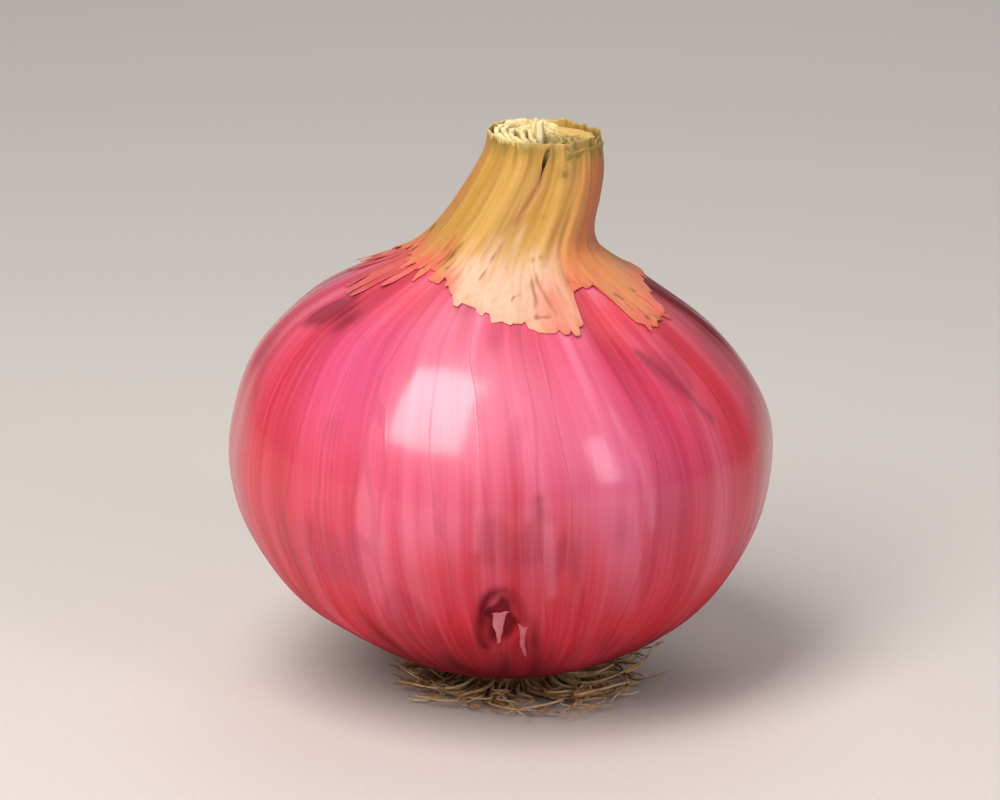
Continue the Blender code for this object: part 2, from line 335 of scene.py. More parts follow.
def maskValues(tree, *keys):  # the three masks that each attribute holds, in order
    found = []
    for key in keys:
        held = addNode(tree, "Attribute", {"attribute_name": key}).outputs["Vector"]
        found += addNode(tree, "SeparateXYZ", links={0: held}).outputs
    return found


def noises(tree, place, layers, around=perMetre, lengthwise=perMetre):
    # noise on a place whose unit is "around" mm round the onion and "lengthwise" mm up it, if not a metre:
    # (mm between streaks or grains, mm of their length, detail, roughness)
    made = []
    for apartBy, longBy, detail, rough in layers:
        fine = (around / apartBy, around / apartBy, lengthwise / longBy)
        spot = addNode(tree, "VectorMath", {"operation": "MULTIPLY", 1: fine}, {0: place}).outputs[0]
        noise = addNode(tree, "TexNoise", {"Scale": 1.0, "Detail": detail, "Roughness": rough}, {"Vector": spot})
        made.append(noise.outputs["Fac"])
    return made


def veinLines(tree, place, spacing, wander, sharpness, seedShift):
    # thin lengthwise lines, "spacing" mm apart at the waist, which wander and draw together at both ends
    count = round(turn * form["radius"] / spacing)
    parts = addNode(tree, "SeparateXYZ", links={0: place})
    angle = addNode(tree, "Math", {"operation": "ARCTAN2"}, {0: parts.outputs[1], 1: parts.outputs[0]})
    # they wander over 6.4 mm round the onion and 35 mm lengthwise
    fine = (form["radius"] / 6.4, form["radius"] / 6.4, rimAlong / 34.881)
    settings = {"operation": "MULTIPLY_ADD", 1: fine, 2: (seedShift, 0, 0)}
    spot = addNode(tree, "VectorMath", settings, {0: place}).outputs[0]
    drift = addNode(tree, "TexNoise", {"Scale": 1.0, "Detail": 2.0, "Roughness": 0.55}, {"Vector": spot})
    shift = addNode(tree, "Math", {"operation": "MULTIPLY", 1: wander}, {0: drift.outputs["Fac"]})
    phase = addNode(tree, "Math", {"operation": "MULTIPLY_ADD", 1: count}, {0: angle.outputs[0], 2: shift.outputs[0]})
    wave = addNode(tree, "Math", {"operation": "SINE"}, {0: phase.outputs[0]})
    line = {"interpolation_type": "SMOOTHSTEP", 1: sharpness, 2: 1.0}
    return addNode(tree, "MapRange", line, {0: wave.outputs[0]}).outputs[0]


def closeFinish(finish, sources, heights=(), coatHeights=()):
    # links the shader's sockets, and its relief under and over the film: (height, strength, depth in mm)
    tree = finish.node_tree
    shader = tree.nodes["Principled BSDF"]
    for key, source in sources.items():
        tree.links.new(source, shader.inputs[key])
    for socket, layers in (("Normal", heights), ("Coat Normal", coatHeights)):
        normal = None
        for height, strength, depth in layers:
            links = {"Height": height, "Normal": normal} if normal else {"Height": height}
            normal = addNode(tree, "Bump", {"Strength": strength, "Distance": depth * toMetres}, links).outputs[0]
        if normal:
            tree.links.new(normal, shader.inputs[socket])
    return finish


# The materials

def curedRedOnionSkin():
    # The bulb's outer leaf base, cured dry: a thin waxy film over wet red flesh. It gives the eye a clear,
    # slightly rippled gloss over deep pink and crimson, drawn lengthwise by the veins.
    finish, tree = newFinish("curedRedOnionSkin", {
        "IOR": 1.45,
        "Specular IOR Level": 0.3,  # for a viewer that can't read it from the nodes below
        "Coat Roughness": 0.17,
        "Coat IOR": 1.5,
    })
    place = addNode(tree, "Attribute", {"attribute_name": "skinPlace"}).outputs["Vector"]
    coral, magenta, crimson, wineAndFootShade, liftGapShadow, scar, pale, dark, rosyHighlightGlow, underSkin, mouth, patches = maskValues(
        tree, "skinTint", "skinMarks", "skinVeins", "skinEnds")
    shine = addNode(tree, "Attribute", {"attribute_name": "filmShine"}).outputs["Fac"]
    # bands of 4 mm and streaks of 1.5 mm, as on the real skin, hair streaks drawn at 0.4 mm so that they
    # show (real ones are half that), and soft clouds of 13 mm
    wide, medium, fine, cloud = noises(tree, place, [
        (4.1143, 47.96, 1.0, 0.5), (1.5158, 42.63, 3.0, 0.55), (0.41143, 19.185, 3.0, 0.6),
        (13.091, 29.515, 2.0, 0.5)], form["radius"], rimAlong)
    # veins 5.8 mm apart, as on the real skin, and hair veins 1.4 mm apart, about twice as far as the real
    # ones, so that they show
    lines = veinLines(tree, place, 5.8, 16.0, 0.93, 3.0)
    hairs = veinLines(tree, place, 1.41, 22.0, 0.55, 11.0)
    # the ramp's paler bands are partly the skin's own banding and partly painted reflection, standing for the light
    # caught between the vein ridges
    ramp = [(0.36, "#b01c3c"), (0.44, "#ca3454"), (0.52, "#d84a6c"), (0.61, "#e57290")]
    colour = layered(tree, wide, ramp, [
        # the broad patches; the pale pink one is mostly painted highlight glow round the two highlights
        (cloud, 0.45, 0.65, 0.3, "#c2203e"), (rosyHighlightGlow, 0.6, "#e78aa2"), (coral, 0.85, "#e02834"),
        (magenta, 0.75, "#cf4a7c"), (crimson, 0.85, "#b01420"), (patches, 0.75, "#9a1836"),
        # streaks and veins
        (medium, 0.52, 0.7, 0.11, "#f090a6"), (medium, 0.48, 0.3, 0.17, "#a01c38"),
        (fine, 0.52, 0.7, 0.07, "#f29cb0"), (lines, 0.2, "#9c1c3a"), (hairs, 0.05, "#f090a6"),
        (pale, 0.2, "#f09aae"), (dark, 0.5, "#861c38"),
        # marks, the dark red foot, which is partly painted shade, the painted shadow of the gap under the lifted skin
        # on the right shoulder, and what lies under the papery skin and in the cut end
        (wineAndFootShade, 0.97, "#420408"), (liftGapShadow, 0.88, "#301010"), (scar, 0.95, "#5c0512"),
        (underSkin, 0.95, "#a06d2c"), (mouth, 0.95, "#c9b068"),
    ])
    rough = addNode(tree, "MapRange", {1: 0.1, 2: 0.85, 3: 0.74, 4: 0.36}, {0: shine}).outputs[0]
    under = addNode(tree, "MapRange", {1: 0.1, 2: 0.85, 3: 0.06, 4: 0.34}, {0: shine}).outputs[0]
    # cells of 1.1 mm, several times as coarse as the real ones, so that the gloss breaks up a little
    spot = addNode(tree, "TexCoord").outputs["Object"]
    speck, = noises(tree, spot, [(1.1111, 1.1111, 2.0, 0.5)])
    sources = {"Base Color": colour, "Roughness": rough, "Specular IOR Level": under, "Coat Weight": shine}
    return closeFinish(finish, sources,
                       [(wide, 0.4, 0.14), (medium, 0.3, 0.07), (lines, 0.3, 0.05), (speck, 0.25, 0.03)],
                       [(wide, 0.2, 0.1), (medium, 0.2, 0.05), (lines, 0.2, 0.03)])


def sunDriedNeckSkin():
    # Dead outer skin, dried to paper in the sun: golden and satin over the neck with fine straight fibres,
    # cream to salmon where it thins out, with brown scorched flecks and torn, darker edges.
    settings = {"IOR": 1.45, "Specular IOR Level": 0.4, "Sheen Weight": 0.06, "Sheen Roughness": 0.5}
    finish, tree = newFinish("sunDriedNeckSkin", settings)
    place = addNode(tree, "Attribute", {"attribute_name": "skinPlace"}).outputs["Vector"]
    cream, orange, salmon, scorch, creaseMarkAndShade, edge, paleRimAndLight, oliveRimShade, rust = maskValues(
        tree, "neckTint", "neckMarks", "neckEnds")
    # folds of 2 mm at the rim, fibres of 0.4 mm and hair fibres of 0.1 mm, all wider further down, clouds of
    # 3 mm, and flecks of 1.6 mm. The fibres are twice as coarse as the real ones, so that they show.
    fold, fibre, hair, cloud = noises(tree, place, [
        (1.9615, 31.974, 2.0, 0.5), (0.39231, 15.348, 3.0, 0.55), (0.10625, 8.5265, 3.0, 0.6),
        (3.1875, 10.963, 3.0, 0.55)], form["neckRim"][0], rimAlong)
    spot = addNode(tree, "TexCoord").outputs["Object"]
    fleck, = noises(tree, spot, [(1.6129, 1.6129, 3.0, 0.6)])
    ramp = [(0.32, "#ab8130"), (0.45, "#b98e38"), (0.56, "#c49842"), (0.70, "#cfa654")]
    colour = layered(tree, fold, ramp, [
        # the broad patches
        (cloud, 0.48, 0.7, 0.4, "#a97a30"), (orange, 0.88, "#da8650"), (rust, 0.8, "#ba5a3a"),
        (cream, 0.92, "#e3bda2"), (salmon, 0.9, "#d4604e"),
        # fibres
        (fibre, 0.52, 0.72, 0.18, "#ecca88"), (fibre, 0.48, 0.28, 0.22, "#8f6026"),
        (hair, 0.52, 0.75, 0.16, "#f2d49c"),
        # marks and edges, with painted shade in the creases and in the olive under the rim, and painted light on the
        # pale rim
        (fleck, 0.62, 0.74, 0.22, "#834a22"), (scorch, 0.9, "#7a3d16"), (creaseMarkAndShade, 0.75, "#96543a"),
        (edge, 0.3, "#9c5a34"), (oliveRimShade, 0.85, "#8a7830"), (paleRimAndLight, 0.85, "#eedb98"),
    ])
    rough = addNode(tree, "MapRange", {1: 0.3, 2: 0.7, 3: 0.45, 4: 0.58}, {0: fibre}).outputs[0]
    return closeFinish(finish, {"Base Color": colour, "Roughness": rough},
                       [(fold, 0.3, 0.16), (fibre, 0.4, 0.08), (hair, 0.4, 0.04), (fleck, 0.2, 0.04)])


def driedInnerSheath():
    # The ends of the inner leaf bases, dried pale where they were cut: matt, cream and straw, fibrous, with
    # olive shade deep between them.
    settings = {"Roughness": 0.62, "IOR": 1.45, "Specular IOR Level": 0.4}
    finish, tree = newFinish("driedInnerSheath", settings)
    place = addNode(tree, "Attribute", {"attribute_name": "skinPlace"}).outputs["Vector"]
    depth, tone = (addNode(tree, "Attribute", {"attribute_name": key}).outputs["Fac"]
                   for key in ("depthShade", "pieceTone"))
    # crumpled fibres of 0.6 mm and hair fibres of 0.13 mm, at least twice as coarse as the real ones
    fibre, hair = noises(tree, place, [
        (0.56667, 4.2857, 3.0, 0.55), (0.1275, 2.3077, 3.0, 0.6)], form["neckRim"][0], sheaths["placeHeight"])
    ramp = [(0.34, "#d8bc72"), (0.5, "#f0e0a2"), (0.66, "#fbf2c8")]
    colour = layered(tree, fibre, ramp, [
        # painted shade: straw on the rings away from the lit back left, over their own tone
        (tone, 0.85, "#a88c3e"),
        (hair, 0.5, 0.75, 0.25, "#fff2c4"),
        (hair, 0.45, 0.25, 0.25, "#a08040"),
        (depth, 0.85, "#75652a"),
    ])
    return closeFinish(finish, {"Base Color": colour}, [(fibre, 0.6, 0.15), (hair, 0.5, 0.05)])


def frayedSkinStrip(name, ramp, lightFibre, darkFibre, edgeColour):
    # Torn ribbons of the outer skin, half dry: from crimson to gold, satin on top, with pale pink torn edges.
    settings = {"Roughness": 0.42, "IOR": 1.45, "Specular IOR Level": 0.45}
    finish, tree = newFinish(name, {**settings, "Coat Weight": 0.2, "Coat Roughness": 0.25})
    place = addNode(tree, "Attribute", {"attribute_name": "stripPlace"}).outputs["Vector"]
    tone, edge = (addNode(tree, "Attribute", {"attribute_name": key}).outputs["Fac"]
                  for key in ("pieceTone", "edgeShade"))
    # fibres of 0.4 mm and hair fibres of 0.1 mm, twice as coarse as the real ones, so that they show. Their
    # place is in mm already.
    fibre, hair = noises(tree, place, [(0.38462, 2.8571, 3.0, 0.55), (0.11111, 1.4286, 3.0, 0.6)], 1, 1)
    colour = layered(tree, tone, ramp, [
        (fibre, 0.5, 0.7, 0.35, lightFibre),
        (fibre, 0.48, 0.3, 0.4, darkFibre),
        (hair, 0.52, 0.75, 0.2, lightFibre),
        (edge, 0.25, edgeColour),
    ])
    return closeFinish(finish, {"Base Color": colour}, [(fibre, 0.6, 0.1), (hair, 0.5, 0.04)])


def corkyRootPlate():
    # Cork that the plant grew between bulb and roots: dry, dull and crumbly, grey brown with dark pits.
    settings = {"Roughness": 0.9, "IOR": 1.4, "Specular IOR Level": 0.25}
    finish, tree = newFinish("corkyRootPlate", settings)
    spot = addNode(tree, "TexCoord").outputs["Object"]
    # grain of 1.1 mm and cells of 0.9 mm, several times real cork's, so that they show
    grain, = noises(tree, spot, [(1.1111, 1.1111, 5.0, 0.65)])
    pitted = {"Scale": perMetre / 0.9091, "feature": "F1"}
    cells = addNode(tree, "TexVoronoi", pitted, {"Vector": spot}).outputs["Distance"]
    ramp = [(0.3, "#5c4228"), (0.5, "#8f6d45"), (0.7, "#b99a6c")]
    colour = layered(tree, grain, ramp, [(cells, 0.35, 0.1, 0.55, "#4a3320")])
    return closeFinish(finish, {"Base Color": colour}, [(grain, 0.8, 0.3), (cells, 0.6, 0.2)])


def driedRoots():
    # Dead roots, shrunk as they dried: dull tan skin with lengthwise wrinkles, browner towards the plate.
    settings = {"Roughness": 0.78, "IOR": 1.45, "Specular IOR Level": 0.35}
    finish, tree = newFinish("driedRoots", settings)
    spot = addNode(tree, "TexCoord").outputs["Object"]
    tone, share = (addNode(tree, "Attribute", {"attribute_name": key}).outputs["Fac"]
                   for key in ("pieceTone", "rootShare"))
    # grain of 0.7 mm, drawn a little coarser than the roots' wrinkles so that it shows
    grain, = noises(tree, spot, [(0.66667, 0.66667, 4.0, 0.6)])
    ramp = [(0.0, "#a2784c"), (0.5, "#cba673"), (1.0, "#e8d0a6")]
    colour = layered(tree, tone, ramp, [
        (share, 0.35, 0.0, 0.6, "#7d5834"),
        (grain, 0.48, 0.3, 0.5, "#6e4c2a"),
        (grain, 0.55, 0.75, 0.4, "#f0deb8"),
    ])
    return closeFinish(finish, {"Base Color": colour}, [(grain, 0.7, 0.12)])


def matPaperFloor():
    # Pale mat paper, as a studio sweep is made of: even, with no gloss to speak of.
    finish, tree = newFinish("matPaperFloor", {"Roughness": 0.92, "Specular IOR Level": 0.2})
    spot = addNode(tree, "TexCoord").outputs["Object"]
    # grain of 0.6 mm, some ten times as coarse as paper's, so that it shows
    grain, = noises(tree, spot, [(0.55556, 0.55556, 2.0, 0.5)])
    colour = layered(tree, grain, [(0.3, "#d0cdc7"), (0.7, "#d4d1cb")], [])
    return closeFinish(finish, {"Base Color": colour})


# The bulb

bulb = {
    "columns": 352,
    "crowding": 0.38,  # how much closer the columns of points stand on the best side
    "rowSpacing": 0.42,
    "ribs": 30,
    "ribHeight": 0.022,
    "dents": 0.11,
    "scarDepth": 0.34,
    "lipHeight": 0.18,
    "scar": (-90.5, 21.4, 2.1, 4.9),  # bearing in degrees, along, half width and half length
    # the red of its torn edge, and of the run beside it: corners of (bearing, along)
    "scarEdge": [
        (-85.5, 21.6), (-86.1, 23.6), (-87.6, 25.3), (-89.6, 26.1), (-91.6, 25.9),
        (-93.4, 24.9), (-94.7, 23.2), (-95.5, 21.0), (-95.9, 18.8), (-95.3, 16.8)],
    "scarRun": [(-82.8, 22.6), (-82.6, 19.0), (-81.4, 15.0), (-81.2, 11.5), (-80.2, 8.0)],
    # soft patches of colour, as blots() takes them. Of the three dark red entries, the first two lessen and deepen
    # the red of the foot, which is partly the skin's own colour and partly painted shade, and the third is the dark
    # red under the hem.
    "tints": {
        "coral": [(0.75, -152, 34, 34, 22), (0.8, -14, 26, 38, 22)],
        "coralSpots": [(0.8, -44, 10, 55, 4), (0.7, -126, 9, 58.5, 3.5)],
        "magenta": [(1, -126, 17, 48.5, 8)],
        "magentaFace": [(0.8, -64, 17, 38, 9)],
        "crimson": [(0.75, 0, 22, 36, 26), (0.7, 100, 60, 36, 20), (0.3, -76, 26, 27, 8), (0.45, -88, 11, 32, 7)],
        # painted highlight glow: pale pink spread round the main highlight and the weaker one to its right
        "rosyHighlightGlow": [
            (1, -88, 17, 46, 9), (0.8, -68, 11, 38, 8), (0.9, -109, 12, 48, 10),
            (0.5, -131, 11, 41.5, 6), (0.25, -117, 20, 26, 5), (0.3, -100, 8, 55, 4)],
        "lessFootShade": [(0.35, -62, 17, 11, 6)],
        # painted shade: a darker spot low on the best side, to the left
        "moreFootShade": [(0.25, -105, 9, 13.5, 4)],
        "wineTop": [(1, -151, 15, 54.0, 3.2)],
        # painted shadow: the dark gap under the lifted papery skin on the right shoulder
        "liftGapShadow": [(1, 4, 22, 51.5, 6.5)],
    },
    # patches of darker skin: bearings from and to, alongs from and to, amount
    "patches": [
        (-95, -80.5, 28.6, 33.6, 0.6), (-79.5, -72.5, 27.2, 31.0, 0.7), (-46, -36, 43, 49, 0.3),
        (-22, -10, 44, 48.5, 0.35), (-135, -120, 26, 31, 0.35), (40, 58, 30, 40, 0.6),
        (95, 108, 24, 38, 0.5), (150, 160, 34, 44, 0.5)],
    # veins that show, paler and darker than the skin: corners of (bearing, along), width
    "paleVeins": [
        ([(-93.4, 43), (-94.2, 37), (-95, 31)], 0.5), ([(-80, 33), (-79.6, 29), (-79, 25)], 0.55),
        ([(-62, 44), (-59, 38), (-57.5, 32)], 0.5), ([(58, 52), (52, 30)], 0.6), ([(120, 48), (124, 22)], 0.6)],
    "darkVeins": [
        ([(-45, 50), (-41, 46), (-36, 41)], 0.5), ([(-82.2, 35.9), (-82.0, 34.4)], 0.55),
        ([(30, 50), (38, 34)], 0.5), ([(88, 54), (84, 36)], 0.5), ([(170, 50), (166, 26)], 0.5)],
    # the dimple below: radius and height of its rings, from the middle out, and height of its middle
    "dimple": [(4.0, 3.55), (6.6, 3.3), (7.9, 2.6)],
    "dimpleTop": 3.6,
    # the recess in the neck's end: share of the rim's radius and depth, from the middle out
    "mouth": [
        (0.12, 2.8), (0.28, 2.5), (0.36, 1.9), (0.44, 0.8), (0.52, 0.75),
        (0.58, 1.5), (0.66, 1.9), (0.76, 1.5), (0.83, 0.25), (0.94, 0.05)],
    "mouthDepth": 2.9,
    "mouthRings": 30,
    "mouthAlong": 3,  # what the materials take as the way from the rim to the middle
}


def scarShape(bearing, along):
    # an old tear low on the best side: a sunk, arched hollow, and the lip of skin that is drawn up round it
    middle, level, wide, tall = bulb["scar"]
    radius = onOutline(along, "radius")
    lengthwise = along - level
    across = turned(bearing, middle) * radius + 0.25 * np.sin(1.3 * lengthwise) - 0.1 * lengthwise
    narrowing = wide * (1 - 0.3 * smooth(0, tall, lengthwise))
    reach = np.hypot(across / narrowing, lengthwise / tall) + 0.07 * np.sin(3.7 * across + 1.9 * lengthwise)
    return smooth(0.95, 0.55, reach), bump(reach, 1.08, 0.16)


def bulbRelief(bearing, along):
    # fine ribs over the veins and shallow dents, none of them at the rim or in the dimple
    at = skinSpace(bearing, along * 0.32)
    ribs = np.cos(bulb["ribs"] * bearing + 2.4 * np.sin(2 * bearing + 0.4) + 1.6 * relief(at, 30, 5))
    uneven = 0.35 + 0.65 * smooth(-0.6, 0.9, relief(at, 22, 8))
    dents = relief(skinSpace(bearing, along), 13, 21) * bulb["dents"] * plateau(4, 16, 56, 66, along)
    hollow, lip = scarShape(bearing, along)
    ribs = bulb["ribHeight"] * ribs * uneven * plateau(0, 12, 66, 74, along)
    return ribs + dents - bulb["scarDepth"] * hollow + bulb["lipHeight"] * lip


def bulbMasks(bearing, along):
    at = skinSpace(bearing, along)
    wobble = relief(at, 9, 31)
    streaky = relief(skinSpace(bearing, along * 0.12), 2.2, 33)
    uneven = 1 + 0.3 * wobble + 0.3 * streaky
    tints = {key: blots(bearing, along, spots) for key, spots in bulb["tints"].items()}
    lowDown = smooth(36, 18, along + 2 * wobble)
    coral = np.maximum(tints["coral"], lowDown) + tints["coralSpots"]
    magenta = tints["magenta"] + tints["magentaFace"] * (1 - lowDown)
    # painted shade: the foot is drawn dark red towards the bottom and the front, partly the skin's own colour and
    # partly standing for the shade low on the bulb
    wineAndFootShade = smooth(24, 6, along + 1.6 * wobble + 1.5 * streaky) * (0.86 + 0.14 * towards(bearing, -20))
    wineAndFootShade = np.maximum(wineAndFootShade, 0.35 * smooth(30, 12, along) * seen(bearing, -60, 45))
    wineAndFootShade = wineAndFootShade * (1 - tints["lessFootShade"]) + tints["moreFootShade"]
    wineAndFootShade = np.maximum(wineAndFootShade, 0.66 * smooth(0.3, 0.8, uneven * tints["wineTop"]))
    # painted shadow of the gap under the lifted papery skin on the right shoulder
    liftGapShadow = 0.9 * smooth(0.05, 1.0, uneven * tints["liftGapShadow"])
    run = nearLine(bearing, along, bulb["scarRun"], 0.75) * 0.65 * smooth(24, 18, along)
    leftOfScar = smooth(0, -6, np.degrees(turned(bearing, -88)))
    edge = nearLine(bearing, along, bulb["scarEdge"], 0.62) * (0.45 + 0.5 * leftOfScar)
    scar = 0.85 * scarShape(bearing, along)[0] + edge * (1 + 0.3 * wobble) + run
    level = along + 0.8 * streaky + 0.5 * wobble
    patches = sum(amount * facing(bearing, first, last, 2.4) * plateau(low - 1, low + 1, high - 1, high + 1, level)
                  for first, last, low, high, amount in bulb["patches"])
    patches += smooth(0.75, 1.5, relief(at * [1, 1, 0.5], 7, 37)) * 0.45 * smooth(8, 20, along)
    pale = drawnLines(bearing, along, bulb["paleVeins"])
    dark = drawnLines(bearing, along, bulb["darkVeins"])
    underSkin = smooth(64, 68, along + 0.8 * wobble) * smooth(rimAlong - 0.3, rimAlong - 0.7, along)
    mouth = smooth(rimAlong - 0.6, rimAlong - 0.2, along)
    masks = packed({
        "skinTint": (coral, magenta, tints["crimson"]),
        "skinMarks": (wineAndFootShade, liftGapShadow, scar),
        "skinVeins": (pale, dark, tints["rosyHighlightGlow"]),
        "skinEnds": (underSkin, mouth, patches),
    })
    # the film is clear and whole above the waist, and dull where it is worn low down or torn, and in the painted
    # shadow on the right shoulder
    worn = np.clip(np.maximum.reduce([wineAndFootShade, liftGapShadow, scar, mouth]), 0, 1)
    masks["filmShine"] = (0.85 - 0.7 * smooth(38, 17, along)) * (1 - 0.94 * worn)
    masks["skinPlace"] = skinPlace(bearing, along)
    return masks


def makeBulb():
    columns = bulb["columns"]
    step = np.arange(columns) * turn / columns
    bearing = step - math.pi / 2 - bulb["crowding"] * np.sin(step)
    rows, alongs = [], []
    for radius, height in bulb["dimple"]:
        rows.append(placed(bearing, radius, height))
        alongs.append(radius - form["undersideRadius"])
    for along in np.linspace(0, rimAlong, int(rimAlong / bulb["rowSpacing"])):
        rows.append(onSide(bearing, along, bulbRelief(bearing, np.full(columns, along))))
        alongs.append(along)
    for share in np.linspace(0.97, 0.1, bulb["mouthRings"]):
        depth = np.interp(share, *zip(*bulb["mouth"]))
        ring = placed(bearing, share * form["neckRim"][0], rimHeight - depth)
        ring[:, 2] += 0.22 * np.sin(3 * bearing + 9 * share) + 0.12 * np.sin(7 * bearing - 14 * share)
        rows.append(ring)
        alongs.append(rimAlong + (1 - share) * bulb["mouthAlong"])
    ends = [[0, 0, bulb["dimpleTop"]], [*sway(rimHeight), rimHeight - bulb["mouthDepth"]]]
    bearings = np.append(np.tile(bearing, len(rows)), [0, 0])
    levels = np.append(np.repeat(alongs, columns), [-form["undersideRadius"], rimAlong + bulb["mouthAlong"]])
    piece = pieceFromMesh("onion_bulb", np.vstack(rows + ends), closedFaces(len(rows), columns),
                          curedRedOnionSkin(), bulbMasks(bearings, levels))
    return dress(piece, "bulb_skin", "bulb")


makeBulb()
print("bulb made")


# The papery skin round the neck

drySkin = {
    "columns": 620,
    "rows": 66,
    "thickness": 0.07,
    # how far down the shoulder the hem runs: bearing in degrees, along
    "hem": [
        (-180, 63.6), (-171, 63.8), (-157, 62.6), (-150, 62.2), (-134, 62.8), (-118, 61.6), (-110, 59.8),
        (-106, 58.2), (-98, 57.3), (-90, 56.0), (-82, 54.9), (-73, 54.0), (-62, 53.2), (-57, 53.4), (-55, 57.2),
        (-52, 59.0), (-41, 59.4), (-38.5, 57.6), (-36.5, 53.4), (-29, 52.0), (-20, 52.9), (-14, 55.3), (-5, 57.0),
        (5, 56.2), (19, 56.0), (40, 57.0), (62, 55.5), (90, 58.2), (118, 60.0), (150, 60.4), (170, 62.4)],
    "rimRise": 0.5,  # over the rim of the neck, and at most
    "rimRiseMost": 1.2,
    # the crack in the neck: along, bearing in degrees, width
    "crack": [
        (66.0, -97.0, 0.0), (71.2, -94.0, 0.0), (72.6, -90.6, 0.0), (74.1, -91.4, 0.08), (75.0, -91.0, 0.4),
        (75.8, -89.6, 0.5), (76.4, -88.2, 0.42), (76.9, -87.2, 0.0), (78.0, -86.5, 0.0)],
    # lines drawn on it: corners of (bearing, along), width
    "groove": [(-91.4, 74.2), (-90.6, 72.5), (-94.2, 71.0), (-96.0, 68.8)],
    "ridges": [([(-73.2, 64.4), (-72.6, 60), (-72.8, 56.6)], 0.3), ([(-69.2, 64.2), (-66.4, 56.8)], 0.3)],
    "scorches": [
        ([(-128, 66.2), (-127.2, 64.6), (-128.6, 63.6)], 0.24), ([(-132.4, 65.2), (-131.4, 63.8)], 0.22),
        ([(-123.5, 64.2), (-124.2, 63.2)], 0.16), ([(-179, 66.6), (-176, 65.0)], 0.3),
        ([(-82.0, 59.4), (-82.4, 58.8)], 0.16), ([(-33, 57.4), (-32.4, 56.8)], 0.34),
        ([(-31, 53.6), (-26, 52.8)], 0.45), ([(-22, 57.6), (-21, 57.0)], 0.24),
        ([(-71, 73.9), (-68, 73.7)], 0.3), ([(70, 64), (72, 62)], 0.25), ([(141, 62), (139, 61)], 0.3)],
    # the creases are drawn darker: partly brown marks and partly painted shade in the folds
    "creases": [
        ([(-74.5, 64.6), (-67, 64.8)], 0.2), ([(-73.2, 63.6), (-72.6, 60), (-72.8, 56.4)], 0.22),
        ([(-70.6, 62.6), (-67.6, 59), (-65.4, 56.6)], 0.18), ([(-73.4, 56.2), (-65.2, 56.4)], 0.2),
        ([(-99, 66.5), (-101, 62)], 0.15), ([(-84, 59.0), (-80, 59.6)], 0.14)],
    # soft patches of colour, as blots() takes them
    "tints": {
        "rust": [(0.25, -138, 12, 63.8, 1.8), (0.12, -64, 9, 58, 3)],
        "roughRust": [(0.6, -134, 7, 65.4, 1.6)],
        # painted shade: olive below the rim by the crack
        "olive": [(0.5, -66, 12, 74.2, 1.1)],
    },
}


def tornProfile(seed, widths, spread, splitShare, splitDepth, blur):
    # Paper tears along its fibres, so its edge is a row of tabs, each with its own length, slant and curl,
    # with splits between some of them. Gives (length, curl) at any bearing.
    draw = np.random.default_rng(seed)
    cells = 3600
    degrees = np.arange(cells) * 360 / cells
    length, curl, split = np.zeros(cells), np.zeros(cells), np.zeros(cells)
    start = 0.0
    while start < 360:
        width = draw.uniform(*widths) * draw.choice([0.6, 1.0, 1.7])
        inside = (degrees >= start) & (degrees < start + width)
        across = (degrees[inside] - start) / width - 0.5
        length[inside] = draw.normal(0, spread) + draw.normal(0, spread * 0.8) * across
        length[inside] -= draw.uniform(0, spread * 0.5) * (2 * across) ** 4
        curl[inside] = draw.uniform(0, 1) ** 2
        if draw.uniform() < splitShare:
            half = draw.uniform(0.5, 1.1)
            near = np.abs((degrees - start + 180) % 360 - 180)
            split = np.maximum(split, draw.uniform(*splitDepth) * np.clip(1 - near / half, 0, 1))
        start += width

    def soften(values):
        return np.convolve(np.concatenate([values[-blur:], values, values[:blur]]), kernel, "same")[blur:-blur]

    def profile(bearing):
        return [np.interp(np.degrees(bearing) % 360, degrees, values, period=360) for values in (length, curl)]

    kernel = np.ones(blur) / blur
    length, curl = soften(length) - split, soften(curl)
    return profile


hemTear = tornProfile(14, (1.6, 5.5), 0.36, 0.25, (0.5, 1.8), 7)
rimTear = tornProfile(23, (12, 34), 0.14, 0.5, (0.2, 0.6), 17)


def hemAlong(bearing):
    corners = np.array(drySkin["hem"], dtype=float)
    return np.interp(np.degrees(bearing), corners[:, 0], corners[:, 1], period=360) - hemTear(bearing)[0]


def drySkinLift(bearing, along, hem):
    # how far the sheet's outer face stands off the bulb: flush at the hem, bar its torn tips, and full
    # round the neck
    at = skinSpace(bearing, along)
    hug = 0.11 + 0.62 * smooth(58, 69, along) * smooth(0, 4.5, along - hem) - 0.14 * smooth(72, rimAlong, along)
    hug += 0.42 * np.maximum(0, towards(bearing, 190)) * smooth(66, 74, along)
    curl = 0.22 * hemTear(bearing)[1] * np.clip(1 - (along - hem) / 2.2, 0, 1) ** 2
    crumple = 0.05 * relief(at * [1, 1, 0.55], 4.2, 51) * smooth(0, 3, along - hem)
    creases = 0.014 * np.cos(34 * bearing + 3 * relief(at, 25, 61)) * smooth(58, 70, along)
    ridges = 0.05 * drawnLines(bearing, along, drySkin["ridges"])
    groove = 0.16 * nearLine(bearing, along, drySkin["groove"], 0.35)
    return hug + curl + crumple + creases + ridges - groove + bulbRelief(bearing, along)


